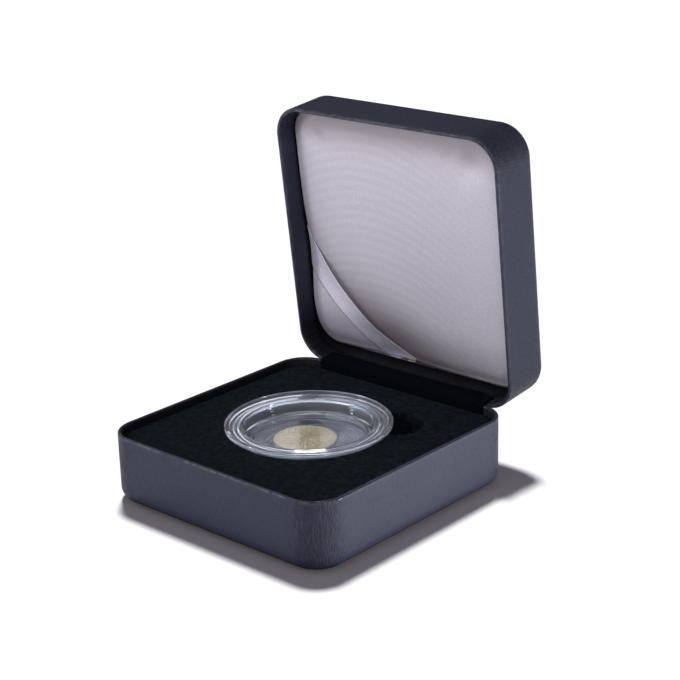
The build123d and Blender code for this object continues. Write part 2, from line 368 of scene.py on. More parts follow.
def leatheretteMaterial(name, onLid, look):
    # nearly smooth where it lies flat, creased where it is drawn round the corners
    settings = {"Specular IOR Level": look["gloss"], "IOR": 1.5, "Coat Roughness": look["rimRoughness"]}
    material, tree, shader = startMaterial(name, settings)
    vector = caseCoordinates(tree, onLid)
    axes = axesOf(tree, vector)
    sides = [mathNode(tree, "ABSOLUTE", axes[axis]) for axis in ("X", "Y")]
    beyondX, beyondY = (band(tree, side, look["creased"]) for side in sides)
    drawn = ramp(tree, times(tree, beyondX, beyondY), 0, 1, look["flatGrain"], 1)
    grain = placedGroup(tree, grainGroup, vector, {"Scale": look["scale"], "Stretch": look["stretch"]})
    patches = times(tree, grain["Patches"], look["patchShare"])
    # the hollows of the creases are painted darker: painted shade in them
    creaseShade = times(tree, minus(tree, 1.0, grain["Creases"]), drawn)
    colour = mixColour(tree, patches, look["colour"], look["patchColour"])
    colour = mixColour(tree, creaseShade, colour, look["creaseShadeColour"])
    # the turned-in edge inside the rim is painted darker: painted shade of the recess, on the base partly
    # also the velvet's fluff lying on it
    corner = (look["reach"] - look["corner"]) * mm
    awayX, awayY = (mathNode(tree, "MAXIMUM", minus(tree, side, corner), 0.0) for side in sides)
    away = mathNode(tree, "SQRT", plus(tree, times(tree, awayX, awayX), times(tree, awayY, awayY)))
    turnedIn = [look["corner"] - inset for inset in look["turnedIn"]]
    dullOrShade = band(tree, away, turnedIn, 0, look["shadeStrength"])
    dullOrShade = times(tree, dullOrShade, band(tree, axes["Y"], look["shadeSpan"]))
    feed(tree, shader.inputs["Base Color"], mixColour(tree, dullOrShade, colour, look["shadeColour"]))
    low, high = look["roughness"]
    feed(tree, shader.inputs["Roughness"], ramp(tree, grain["Creases"], 0, 1, high, low))
    # the rim is polished by handling, unevenly
    worn = ramp(tree, noiseField(tree, vector, look["wornScale"], 3.0), *look["worn"])
    worn = times(tree, worn, band(tree, axes["Z"], look["rim"], 0, look["polish"]))
    feed(tree, shader.inputs["Coat Weight"], worn)
    addBump(tree, shader, times(tree, grain["Height"], drawn), look["bump"])
    return material


def velvetMaterial():
    look = {
        "colour": linear(24, 29, 35),
        "deep": linear(10, 13, 17),
        "nap": linear(42, 49, 56),
        "sheenTint": linear(150, 165, 180),
        "patchScale": 600.0,
        "toothScale": 2200.0,
        "bump": (0.6, 0.3),
    }
    settings = {"Roughness": 0.95, "Specular IOR Level": 0.03, "Sheen Weight": 0.04, "Sheen Roughness": 0.5}
    material, tree, shader = startMaterial("velvet", {**settings, "Sheen Tint": look["sheenTint"]})
    uneven = placedFlecks(tree, look)
    colour = mixColour(tree, uneven["Tooth"], look["deep"], look["colour"])
    fuzz = times(tree, uneven["Patches"], uneven["Tooth"])
    feed(tree, shader.inputs["Base Color"], mixColour(tree, fuzz, colour, look["nap"]))
    addBump(tree, shader, uneven["Tooth"], look["bump"])
    return material


velvet = velvetMaterial()


def satinMaterial():
    # places along the ribbon's radius are counted from the ribbon's middle line
    look = {
        "colour": linear(212, 208, 221),
        "shadow": linear(184, 180, 192),
        "ribPitch": 0.3,
        "threadPitch": 0.36,
        "slub": 1.2,
        "waterMiddle": -15.0,
        "waterBend": 0.0088,
        "waterPitch": 3.7,
        "waterShade": (0.34, 0.05),
        "waterFade": (4.0, 36.0),
        # the colours and spans from here down to the roughness paint shade: along the front edge and on both
        # sides of the ribbon
        "dullOrShade": linear(160, 148, 150),
        "shadeStrength": 0.6,
        "shadeSpan": (-31.0, -44.0),
        "ribbonShadeColour": linear(120, 108, 111),
        "ribbonShade": (-32.0, -5.0),
        "ribbonShadeEdge": (0.0, -4.0),
        "ribbonShadeSpan": (5.0, 36.0),
        "ribbonShadeShare": (0.2, 0.85),
        "behindShadeColour": linear(158, 153, 171),
        "behind": (0.0, 4.0),
        "behindSpan": (18.0, 46.0),
        "behindShare": (0.1, 0.85),
        "roughness": (0.4, 0.6),
        "bump": (0.35, 0.1),
    }
    settings = {"Metallic": 0.22, "Specular IOR Level": 0.35, "Sheen Weight": 0.1, "Sheen Roughness": 0.35}
    material, tree, shader = startMaterial("satin", settings)
    vector = caseCoordinates(tree, True)
    axes = axesOf(tree, vector)
    weave = placedWeave(tree, vector, look)
    colour = mixColour(tree, weave["Shade"], look["shadow"], look["colour"])
    # the watered bands that the pressed ribs make: the same shallow bow again and again
    aside = minus(tree, axes["X"], look["waterMiddle"] * mm)
    bow = times(tree, times(tree, aside, aside), look["waterBend"] / mm)
    bows = wave(tree, times(tree, minus(tree, axes["Y"], bow), 1 / (look["waterPitch"] * mm)))
    faded = band(tree, axes["X"], look["waterFade"], *look["waterShade"])
    colour = mixColour(tree, times(tree, ramp(tree, bows, -1, 1), faded), colour, look["shadow"])
    # darker along the front edge: painted shade, the soft shadow of the lid's rim on the pad
    rimShade = band(tree, axes["Y"], look["shadeSpan"], 0, look["shadeStrength"])
    colour = mixColour(tree, rimShade, colour, look["dullOrShade"])
    # painted shade beside the ribbon, where it stands off the pad and the pad dips under it, in front of the
    # ribbon and behind it
    centreX, centreY, radius = ribbonArc()
    flat = addNode(tree, "ShaderNodeCombineXYZ", {0: axes["X"], 1: axes["Y"]}).outputs[0]
    centre = (centreX * mm, centreY * mm, 0.0)
    away = addNode(tree, "ShaderNodeVectorMath", {0: flat, 1: centre}, operation="DISTANCE").outputs["Value"]
    near, nearEdge, behind = (
        band(tree, away, [radius + place for place in look[span]])
        for span in ("ribbonShade", "ribbonShadeEdge", "behind")
    )
    ribbonShade = band(tree, axes["Y"], look["ribbonShadeSpan"], *look["ribbonShadeShare"])
    ribbonShade = times(tree, times(tree, near, nearEdge), ribbonShade)
    behind = times(tree, behind, band(tree, axes["Y"], look["behindSpan"], *look["behindShare"]))
    colour = mixColour(tree, ribbonShade, colour, look["ribbonShadeColour"])
    colour = mixColour(tree, behind, colour, look["behindShadeColour"])
    feed(tree, shader.inputs["Base Color"], colour)
    low, high = look["roughness"]
    feed(tree, shader.inputs["Roughness"], ramp(tree, weave["Height"], 0, 1, high, low))
    addBump(tree, shader, weave["Height"], look["bump"])
    return material


def ribbonMaterial():
    look = {
        "colour": linear(236, 230, 248),
        "selvedge": linear(255, 253, 255),
        "gap": linear(190, 184, 200),
        "shadow": linear(202, 196, 215),
        "edgeShade": linear(120, 114, 124),
        "ribPitch": 0.3,
        "threadPitch": 0.35,
        "slub": 0.5,
        "loopPitch": 0.85,
        "loops": (-0.4, 0.6),
        "selvedgeSpan": (4.1, 4.3),
        "raisedSpan": (4.0, 4.4),
        "raised": 1.5,
        "edgeShadeSpan": (-4.5, -4.75),
        "bump": (0.4, 0.1),
    }
    settings = {"Roughness": 0.38, "Metallic": 0.4, "Specular IOR Level": 0.5, "Sheen Weight": 0.1}
    material, tree, shader = startMaterial("ribbon_satin", settings)
    cloth = addNode(tree, "ShaderNodeUVMap", uv_map="cloth").outputs["UV"]
    along, across = axesOf(tree, cloth)["X"], axesOf(tree, cloth)["Y"]
    weave = placedWeave(tree, cloth, look)
    loops = wave(tree, times(tree, along, 1 / (look["loopPitch"] * mm)))
    lit = mixColour(tree, ramp(tree, loops, *look["loops"]), look["gap"], look["selvedge"])
    colour = mixColour(tree, weave["Shade"], look["shadow"], look["colour"])
    colour = mixColour(tree, band(tree, across, look["selvedgeSpan"]), colour, lit)
    # the edge that stands off is painted darker, a painted shade that keeps its upturned cut side from
    # showing more light than the face
    colour = mixColour(tree, band(tree, across, look["edgeShadeSpan"]), colour, look["edgeShade"])
    feed(tree, shader.inputs["Base Color"], colour)
    edges = band(tree, mathNode(tree, "ABSOLUTE", across), look["raisedSpan"])
    height = plus(tree, weave["Height"], times(tree, edges, look["raised"]))
    addBump(tree, shader, height, look["bump"])
    return material


ribbonSatin = ribbonMaterial()


def plasticMaterial(name, clearness):
    # mostly see-through, with the faint milky veil of moulded plastic
    look = {
        "colour": (0.88, 0.94, 1.0, 1.0),
        "patchScale": 120.0,
        "toothScale": 900.0,
        "roughness": (0.01, 0.05),
        "bump": (0.004, 0.2),
    }
    settings = {"Base Color": look["colour"], "Metallic": 0.0, "IOR": 1.49, "Transmission Weight": clearness}
    material, tree, shader = startMaterial(name, settings)
    uneven = placedFlecks(tree, look)
    feed(tree, shader.inputs["Roughness"], ramp(tree, uneven["Tooth"], *noiseSpan, *look["roughness"]))
    addBump(tree, shader, uneven["Patches"], look["bump"])
    return material


clearPlastic = plasticMaterial("clear_plastic", 0.985)
ringPlastic = plasticMaterial("ring_plastic", 0.955)


def unevenMaterial(name, look):
    # metal or card, with cloudy patches and a fine tooth
    look = {"metallic": 1.0, "patchShare": 1.0, "toothShare": 0.3, "toothScale": 2500.0, **look}
    material, tree, shader = startMaterial(name, {"Metallic": look["metallic"]})
    uneven = placedFlecks(tree, look)
    patches = times(tree, uneven["Patches"], look["patchShare"])
    colour = mixColour(tree, patches, look["colour"], look["dullOrShade"])
    colour = mixColour(tree, times(tree, uneven["Tooth"], look["toothShare"]), colour, look["dullOrShade"])
    feed(tree, shader.inputs["Base Color"], colour)
    feed(tree, shader.inputs["Roughness"], ramp(tree, uneven["Tooth"], *noiseSpan, *look["roughness"]))
    addBump(tree, shader, uneven["Tooth"], look["bump"])
    return material


coinLook = {
    "metallic": 0.35,
    "colour": linear(255, 230, 184),
    "dullOrShade": linear(104, 78, 44),
    "patchShare": 0.4,
    "patchScale": 1300.0,
    "toothScale": 2200.0,
    "roughness": (0.25, 0.4),
    "bump": (0.3, 0.1),
}
hingeLook = {
    "colour": linear(176, 177, 180),
    "dullOrShade": linear(120, 121, 125),
    "patchScale": 300.0,
    "roughness": (0.25, 0.45),
    "bump": (0.2, 0.1),
}
springLook = {
    "colour": linear(150, 155, 166),
    "dullOrShade": linear(96, 100, 112),
    "patchScale": 200.0,
    "roughness": (0.25, 0.4),
    "bump": (0.15, 0.1),
}
trayLook = {
    "metallic": 0.2,
    "colour": linear(30, 31, 34),
    "dullOrShade": linear(20, 21, 23),
    "patchScale": 90.0,
    "toothScale": 1500.0,
    "roughness": (0.55, 0.7),
    "bump": (0.3, 0.1),
}
boardLook = {
    "metallic": 0.0,
    "colour": linear(32, 31, 31),
    "dullOrShade": linear(21, 20, 20),
    "patchScale": 150.0,
    "toothScale": 1800.0,
    "roughness": (0.85, 0.95),
    "bump": (0.5, 0.1),
}
coinAlloy = unevenMaterial("coin_alloy", coinLook)
hingeSteel = unevenMaterial("hinge_steel", hingeLook)
springSteel = unevenMaterial("spring_steel", springLook)
sheetSteel = unevenMaterial("sheet_steel", trayLook)
board = unevenMaterial("insert_board", boardLook)


def finishPiece(piece, material, slot, *nodes):
    piece.data.materials.append(material)
    if nodes:
        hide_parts(*nodes)
    return piece


cover = {
    "skin": 0.5,
    "wall": 1.5,
    "roll": 5.0,
    "rimSoftness": 0.72,
    "turnIn": 8.0,
    "cornerRadius": 11.5,
    "leastRadius": 0.8,
    "pleats": 7,
    "pleatDepth": 0.5,
    "pleatFade": (0.8, 3.5),
    "unevenness": 0.07,
    "unevenSize": 14.0,
    "sideSteps": 64,
    "cornerSteps": 28,
    "faceInsets": (38.0, 30.0, 22.0, 15.0, 10.0, 6.0, 3.0, 1.0),
    "wallShares": (0.2, 0.4, 0.6, 0.8, 0.92, 1.0),
    "turnedInShares": (0.12, 0.3, 0.5, 0.7, 0.9, 1.0),
    "underInsets": (10.0, 38.0),
    "slotHalf": 35.2,
    "slotFrom": 45.0,
    "slotDrop": 1.75,
    "shellInset": 1.0,
    "leafSink": 0.8,
    "leafHeight": 9.0,
}
leatherette = {
    "colour": linear(52, 54, 72),
    "creaseShadeColour": linear(32, 33, 46),
    "patchColour": linear(57, 59, 78),
    "patchShare": 0.35,
    "scale": 2300.0,
    "stretch": 0.2,
    "gloss": 0.22,
    "roughness": (0.45, 0.58),
    "bump": (0.5, 0.2),
    "creased": (33.0, 45.0),  # smooth nearer the middle, creased farther out
    "flatGrain": 0.2,
    "reach": nodeBox("base_cover")[1][0],
    "corner": cover["cornerRadius"],
    "turnedIn": (0.9, 1.2),  # the painted shade begins this far in from the outside
    "shadeStrength": 0.85,
    "polish": 0.65,
    "polishFrom": 1.5,
    "polishFull": 0.5,
    "rimRoughness": 0.14,
    "wornScale": 650.0,
    "worn": (0.36, 0.64),
}
baseRim = nodeBox("base_cover")[1][2]
lidRim = nodeBox("lid_cover", shut=True)[0][2]


def rimBand(rim, inwards):
    # where the polish starts near a rim, and where it is full
    return rim + inwards * leatherette["polishFrom"], rim + inwards * leatherette["polishFull"]


# painted shade lies on the base's turned-in edge all round, on the lid only towards the hinge
baseLook = {"rim": rimBand(baseRim, -1), "shadeSpan": (-61.0, -60.0), "shadeColour": linear(22, 19, 21)}
lidLook = {"rim": rimBand(lidRim, 1), "shadeSpan": (24.0, 44.0), "shadeColour": linear(7, 11, 14)}
# the hinge strip is the same leatherette painted near black: painted shade, for the deep shade it lies in at
# the hinge
shadedHingeStripLook = {
    **baseLook,
    "polish": 0.0,
    "shadeStrength": 0.0,
    "colour": linear(8, 13, 17),
    "creaseShadeColour": linear(5, 8, 11),
    "patchColour": linear(10, 15, 20),
    "gloss": 0.03,
    "roughness": (0.8, 0.9),
}
baseLeatherette = leatheretteMaterial("leatherette_base", False, {**leatherette, **baseLook})
lidLeatherette = leatheretteMaterial("leatherette_lid", True, {**leatherette, **lidLook})
shadedHingeLeatherette = leatheretteMaterial("leatherette_hinge_shaded", False, {**leatherette, **shadedHingeStripLook})


def coverProfile(depth):
    # from the middle of the outside, round the roll, up the wall, over the rim and back inside the skin
    skin, wall, roll, soft = (cover[part] for part in ("skin", "wall", "roll", "rimSoftness"))
    inner, rim, turned, edge = roll - skin, depth - soft, depth - 2 * skin, depth - cover["turnIn"]
    path = [(roll + inward, 0.0) for inward in cover["faceInsets"]]
    path += [(roll - roll * sin(angle), roll - roll * cos(angle)) for angle in quarterTurn(8)]
    path += [(0.0, roll + (rim - roll) * share) for share in cover["wallShares"]]
    path += [(soft - soft * cos(angle), rim + soft * sin(angle)) for angle in quarterTurn(6, 1)]
    path += [(wall - soft + soft * sin(angle), rim + soft * cos(angle)) for angle in quarterTurn(6)]
    path += [(wall, rim + (edge - rim) * share) for share in cover["turnedInShares"]]
    path += [(wall - skin, edge), (wall - skin, turned), (skin, turned), (skin, roll)]
    path += [(roll - inner * cos(angle), roll - inner * sin(angle)) for angle in quarterTurn(6, 1)]
    path += [(roll + inward, skin) for inward in cover["underInsets"]]
    return path


def coverRings(half, depth):
    sidePoints, cornerPoints = cover["sideSteps"], cover["cornerSteps"]
    insets, heights = np.array(coverProfile(depth)).T
    rings = []
    for inset, height in zip(insets, heights):
        radius = max(cover["cornerRadius"] - inset, cover["leastRadius"])
        side = half - inset
        loop, outward = squareLoop(side, -side, side, radius, sidePoints, cornerPoints)
        rings.append(raised(loop, height))
    rings = np.array(rings)
    # gathered pleats where the turned-in leatherette goes round the inside corners
    place = (np.arange(rings.shape[1]) % (cornerPoints + sidePoints)) / cornerPoints
    gather = np.abs(np.sin(place * pi * cover["pleats"])) ** 0.6 * np.sin(np.clip(place, 0, 1) * pi) ** 0.3
    pleat = np.where(place <= 1, gather, 0) * cover["pleatDepth"]
    fadeFrom, fadeTo = (depth - below for below in cover["pleatFade"])
    for ring in np.nonzero(np.abs(insets - cover["wall"]) < 0.01)[0]:
        rings[ring, :, :2] -= outward * (pleat * smooth(fadeFrom, fadeTo, heights[ring]))[:, None]
    # a hand-drawn skin is never dead flat
    for ring in np.nonzero((insets < 0.01) & (heights > cover["roll"]) & (heights < depth - 1))[0]:
        shift = wrinkle(rings[ring], cover["unevenSize"], cover["unevenness"])
        rings[ring, :, :2] -= outward * np.abs(shift)[:, None]
    return rings


def makeRoomForHinge(rings, rear, leafFrom, lowRim=None):
    # the rear wall gives way to the hinge's leaves, and on the base to its barrel
    atHinge = (rings[..., 1] > cover["slotFrom"]) & (np.abs(rings[..., 0]) < cover["slotHalf"])
    if lowRim is not None:
        rings[..., 2] = np.where(atHinge, np.minimum(rings[..., 2], lowRim), rings[..., 2])
    shellInner = rear - cover["shellInset"]
    inLeaf = atHinge & (rings[..., 1] < shellInner) & (rings[..., 1] > shellInner - cover["leafSink"])
    rings[..., 1] = np.where(inLeaf & (rings[..., 2] > leafFrom), shellInner, rings[..., 1])
    return rings


def makeBaseCover():
    high = nodeBox("base_cover")[1]
    leafFrom = nodeBox("hinge_base_leaf")[1][2] - cover["leafHeight"]
    rings = coverRings(high[0], high[2])
    rings = makeRoomForHinge(rings, high[1], leafFrom, lowRim=high[2] - cover["slotDrop"])
    piece = pieceFrom("baseCover", rings, "base")
    return finishPiece(piece, baseLeatherette, "leatherette", "base_cover")


def makeLidCover():
    low, high = nodeBox("lid_cover", shut=True)
    depth = high[2] - low[2]
    rings = makeRoomForHinge(coverRings(high[0], depth), high[1], depth - cover["leafHeight"])
    rings[..., 2] = high[2] - rings[..., 2]
    piece = pieceFrom("lidCover", opened(rings), "lid")
    return finishPiece(piece, lidLeatherette, "leatherette", "lid_cover")


baseCover = makeBaseCover()
lidCover = makeLidCover()
print("covers made")

insert = {
    "corner": 9.8,
    "deckRoll": 1.6,
    "wellRoll": 0.9,
    "wellRadius": 25.3,
    "floor": 14.3,
    "notchRadius": 10.4,
    "notchDistance": 29.8,
    "notchAngle": 48.0,
    "cuspSoftness": 1.3,
    "cuspSteps": 12,
    "velvet": 0.6,
    "skirtGap": 1.4,
    "softness": 0.12,
    "softSize": 16.0,
    "softSeed": 40.0,
    "floorShares": (0.02, 0.3, 0.6, 0.85, 0.96),
    "wellRises": (0.5, 3.0, 5.5),
    "deckShares": (0.04, 0.1, 0.2, 0.32, 0.45, 0.58, 0.7, 0.8, 0.88, 0.94, 0.98),
    "skirtFalls": (3.0, 5.0),
    "sideSteps": 60,
    "cornerSteps": 40,
    "around": 512,
}


def rayLengths(outline, angles):
    # distance from the capsule's axis to an outline, in each direction
    turns = np.arctan2(outline[:, 1], outline[:, 0])
    lengths = np.hypot(outline[:, 0], outline[:, 1])
    order = np.argsort(turns)
    return np.interp(angles, turns[order], lengths[order], period=2 * pi)


def wellOutline(angles, grow):
    far = insert["notchDistance"]
    reach = insert["notchRadius"] + grow
    delta = angles - radians(insert["notchAngle"])
    span = reach**2 - (far * np.sin(delta)) ** 2
    notch = np.where((span > 0) & (np.cos(delta) > 0), far * np.cos(delta) + np.sqrt(np.maximum(span, 0)), 0)
    outline = np.maximum(insert["wellRadius"] + grow, notch)
    # the two cusps between well and notch are rounded off
    spread = np.arange(-insert["cuspSteps"], insert["cuspSteps"] + 1)
    weights = bump(spread * 360 / len(angles), insert["cuspSoftness"])
    return sum(np.roll(outline, shift) * weight for shift, weight in zip(spread, weights)) / weights.sum()


def makeInsert():
    low, high = nodeBox("insert_velvet")
    deck = high[2]
    angles = np.arange(insert["around"]) / insert["around"] * 2 * pi - pi
    directions = np.column_stack([np.cos(angles), np.sin(angles)])

    def outer(inset):
        lowY, highY, radius = low[1] + inset, high[1] - inset, insert["corner"] - inset
        loop = squareLoop(high[0] - inset, lowY, highY, radius, insert["sideSteps"], insert["cornerSteps"])[0]
        return rayLengths(loop, angles)

    def ringAt(lengths, height):
        return raised(directions * lengths[:, None], height)

    def sheetRings(inset, deckZ):
        # from the middle of the well's floor up over the deck and down the outside
        floor, well = insert["floor"] - inset, wellOutline(angles, inset)
        roll, outerRoll = insert["wellRoll"] + inset, insert["deckRoll"] - inset
        rings = [ringAt(well * share, floor) for share in insert["floorShares"]]
        rings += [ringAt(well, floor + rise) for rise in insert["wellRises"]]
        for angle in quarterTurn(6):
            lengths = wellOutline(angles, inset + roll - roll * cos(angle))
            rings.append(ringAt(lengths, deckZ - roll + roll * sin(angle)))
        hole, edge = wellOutline(angles, inset + roll), outer(inset + outerRoll)
        rings += [ringAt(hole + (edge - hole) * share, deckZ) for share in insert["deckShares"]]
        for angle in quarterTurn(8):
            lengths = outer(inset + outerRoll - outerRoll * sin(angle))
            rings.append(ringAt(lengths, deckZ - outerRoll + outerRoll * cos(angle)))
        falls = (*insert["skirtFalls"], deck - low[2] - insert["skirtGap"])
        return rings + [ringAt(outer(inset), deckZ - fall) for fall in falls]

    top = sheetRings(0.0, deck)
    under = sheetRings(insert["velvet"], deck - insert["velvet"])
    rings = np.array(top + under[::-1])
    softness = insert["softness"]
    lift = wrinkle(rings, insert["softSize"], softness, insert["softSeed"]) - softness
    rings[..., 2] += lift * smooth(deck - 1.0, deck - 0.1, rings[..., 2])
    piece = pieceFrom("insertVelvet", rings, "base")
    finishPiece(piece, velvet, "velvet", "insert_velvet")
    return piece


insertVelvet = makeInsert()
print("insert made")

# each dip is given by x, y, depth and width
pad = {
    "corner": 9.6,
    "leastRadius": 0.6,
    "edgeRoll": 1.8,
    "crown": 1.7,
    "slope": 6.5,
    "face": 7.5,
    "droop": 2.0,
    "droopFrom": 28.0,
    "valley": 1.8,
    "valleyWidth": 8.0,
    "dips": [
        (-37.2, -39.0, 1.5, 4.0),
        (34.3, -37.2, 2.0, 4.6),
        (25.6, -39.8, 0.8, 3.0),
        (14.8, -41.2, 0.7, 4.0),
        (-6.0, -42.0, 0.5, 6.0),
        (-4.7, 38.0, 0.6, 9.0),
    ],
    "ripple": 0.12,
    "rippleSize": 9.0,
    "rippleSeed": 7.0,
    "backFold": 2.0,
    "sideFold": 0.6,
    "faceInsets": (2.6, 3.6, 5.0, 6.6, 8.4, 10.5, 13.0, 16.0, 19.5, 23.0, 27.0, 31.0, 35.0, 39.0, 43.0, 46.0),
    "sideSteps": 44,
    "cornerSteps": 14,
}
padLow, padHigh = nodeBox("lid_satin", shut=True)
padMiddle = (padLow + padHigh) / 2
padEdgeZ = lidRim + pad["face"]


def padInset(x, y):
    # how far inside the pad's outline a point is, and which way is out
    reachX = np.abs(x) - (padHigh[0] - pad["corner"])
    reachY = np.abs(y - padMiddle[1]) - ((padHigh[1] - padLow[1]) / 2 - pad["corner"])
    signX, signY = np.sign(x), np.sign(y - padMiddle[1])
    cornerX, cornerY = np.maximum(reachX, 0), np.maximum(reachY, 0)
    length = np.hypot(cornerX, cornerY)
    inset = pad["corner"] - length - np.minimum(np.maximum(reachX, reachY), 0)
    alongX = np.where(length > 0, cornerX / np.maximum(length, 1e-9), (reachX > reachY) * 1.0)
    alongY = np.where(length > 0, cornerY / np.maximum(length, 1e-9), (reachX <= reachY) * 1.0)
    return inset, signX * alongX, signY * alongY


ribbon = {
    "width": 9.7,
    "thickness": 0.22,
    "start": (-47.5, 6.5),
    "end": (-9.0, 44.8),
    "sag": 2.2,
    "tuck": 6.5,
    "lift": 0.15,
    "tilt": 1.5,
    "standsFrom": (0.08, 0.4),
    "standsTo": (0.97, 0.7),
    "along": 90,
    "across": 12,
}


def ribbonArc():
    # the ribbon lies in a shallow arc that sags to the rear left corner of the pad
    (startX, startY), (endX, endY) = ribbon["start"], ribbon["end"]
    chord = hypot(endX - startX, endY - startY)
    radius = chord**2 / (8 * ribbon["sag"]) + ribbon["sag"] / 2
    acrossX, acrossY = (endY - startY) / chord, -(endX - startX) / chord
    centreX = (startX + endX) / 2 + acrossX * (radius - ribbon["sag"])
    centreY = (startY + endY) / 2 + acrossY * (radius - ribbon["sag"])
    return centreX, centreY, radius


def padFace(x, y):
    # height of the pad's face, which looks down when the lid is shut
    inset = padInset(x, y)[0]
    height = padEdgeZ - pad["crown"] * smooth(-1.0, pad["slope"], inset)
    height = height + pad["droop"] * smooth(pad["droopFrom"], padHigh[1], y)
    for dipX, dipY, depth, width in pad["dips"]:
        height = height + depth * bump(np.hypot(x - dipX, y - dipY), width)
    # the taut ribbon presses a valley into the pad
    centreX, centreY, radius = ribbonArc()
    beside = np.hypot(x - centreX, y - centreY) - radius
    return height + pad["valley"] * bump(beside, pad["valleyWidth"])


def padPoints(x, y, proud):
    # wraps a flat layout over the pad: past the rolled edge it runs on down the side
    roll = pad["edgeRoll"]
    inset, outX, outY = padInset(x, y)
    over = np.maximum(roll - inset, 0)
    angle = np.minimum(over / roll, pi / 2)
    down = np.maximum(over - roll * pi / 2, 0)
    shift = roll * np.sin(angle) - over
    faceX, faceY = x - outX * over, y - outY * over
    spotX = x + outX * (shift + proud * np.sin(angle))
    spotY = y + outY * (shift + proud * np.sin(angle))
    spotZ = padFace(faceX, faceY) + (roll - proud) * (1 - np.cos(angle)) + down - proud * np.cos(angle)
    spotZ = spotZ + proud * (1 - np.cos(angle))
    return np.stack([spotX, spotY, spotZ], -1)


def makePad():
    roll = pad["edgeRoll"]

    def outline(inset):
        lowY, highY = padLow[1] + inset, padHigh[1] - inset
        radius = max(pad["corner"] - inset, pad["leastRadius"])
        return squareLoop(padHigh[0] - inset, lowY, highY, radius, pad["sideSteps"], pad["cornerSteps"])[0]

    sideHeights = (padHigh[2], padHigh[2] - pad["backFold"], padEdgeZ + roll + pad["sideFold"])
    rings = [raised(outline(0.0), height) for height in sideHeights]
    edge = padFace(*outline(roll).T)
    for angle in quarterTurn(8)[::-1]:
        rings.append(raised(outline(roll - roll * sin(angle)), edge + roll - roll * cos(angle)))
    for loop in (outline(inset) for inset in pad["faceInsets"]):
        rings.append(raised(loop, padFace(*loop.T)))
    rings = np.array(rings)
    soft = rings[len(sideHeights):]
    soft[..., 2] += wrinkle(soft, pad["rippleSize"], pad["ripple"], pad["rippleSeed"])
    piece = pieceFrom("satinPad", opened(rings), "lid")
    finishPiece(piece, satin, "satin", "lid_satin", "lid_foam")
    return piece


satin = satinMaterial()
satinPad = makePad()


def makeRibbon():
    # both ends are tucked behind the pad's edge, and the edge towards the pad's middle stands off
    centreX, centreY, radius = ribbonArc()
    first, last = (atan2(y - centreY, x - centreX) % (2 * pi) for x, y in (ribbon["start"], ribbon["end"]))
    tuck = ribbon["tuck"] / radius
    turn = 1 if last > first else -1
    angles = np.linspace(first - turn * tuck, last + turn * tuck, ribbon["along"])
    offsets = np.linspace(-0.5, 0.5, ribbon["across"]) * ribbon["width"]
    length = radius * abs(last - first) + 2 * ribbon["tuck"]
    share = np.linspace(0, 1, ribbon["along"])
    taut = smooth(*ribbon["standsFrom"], share) * smooth(*ribbon["standsTo"], share)

    def layer(proud, order):
        rows = []
        for offset in offsets[::order]:
            x = centreX + (radius + offset) * np.cos(angles)
            y = centreY + (radius + offset) * np.sin(angles)
            stand = ribbon["tilt"] * taut * (0.5 - offset / ribbon["width"])
            rows.append(padPoints(x, y, proud + stand))
        return rows

    rows = layer(ribbon["lift"] + ribbon["thickness"], 1) + layer(ribbon["lift"], -1)
    rings = np.array(rows).transpose(1, 0, 2)
    alongCloth = np.linspace(0, length, ribbon["along"])[:, None] * np.ones(len(rows))
    acrossCloth = np.concatenate([offsets, offsets[::-1]]) * np.ones((ribbon["along"], 1))
    uv = np.stack([alongCloth, acrossCloth], -1) * mm
    piece = pieceFrom("liningRibbon", opened(rings), "lid", uv=uv)
    finishPiece(piece, ribbonSatin, "ribbon_satin", "lid_ribbon")
    return piece


liningRibbon = makeRibbon()
print("lining made")

strip = {"thickness": 0.35, "along": 64, "flatSteps": 5, "bendSteps": 9}


def makeStrip():
    low, high = nodeBox("hinge_strip")
    outer = pinAt[1] - low[1]
    reach = pinAt[2] - low[2]
    flat = [step / strip["flatSteps"] for step in range(strip["flatSteps"] + 1)]
    turns = [step / strip["bendSteps"] * openAngle for step in range(1, strip["bendSteps"])]

    def path(radius):
        # up the base, round the pin and up the lid, as distances from the pin
        spots = [(-radius, -reach + reach * share) for share in flat]
        spots += [(-radius * cos(turn), radius * sin(turn)) for turn in turns]
        for y, z in [(-radius, reach * share) for share in flat]:
            spots.append((y * cos(openAngle) + z * sin(openAngle), -y * sin(openAngle) + z * cos(openAngle)))
        return spots

    spots = path(outer) + path(outer - strip["thickness"])[::-1]
    stations = np.linspace(low[0], high[0], strip["along"])
    rings = np.array([[(x, pinAt[1] + y, pinAt[2] + z) for y, z in spots] for x in stations])
    piece = pieceFrom("hingeStrip", rings)
    finishPiece(piece, shadedHingeLeatherette, "hinge_leatherette", "hinge_strip")
    bendStart = np.array([0.0, pinAt[1] - outer, pinAt[2]])
    bendEnd = opened(bendStart)
    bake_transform(piece)
    return piece


hingeStrip = makeStrip()
print("hinge strip made")

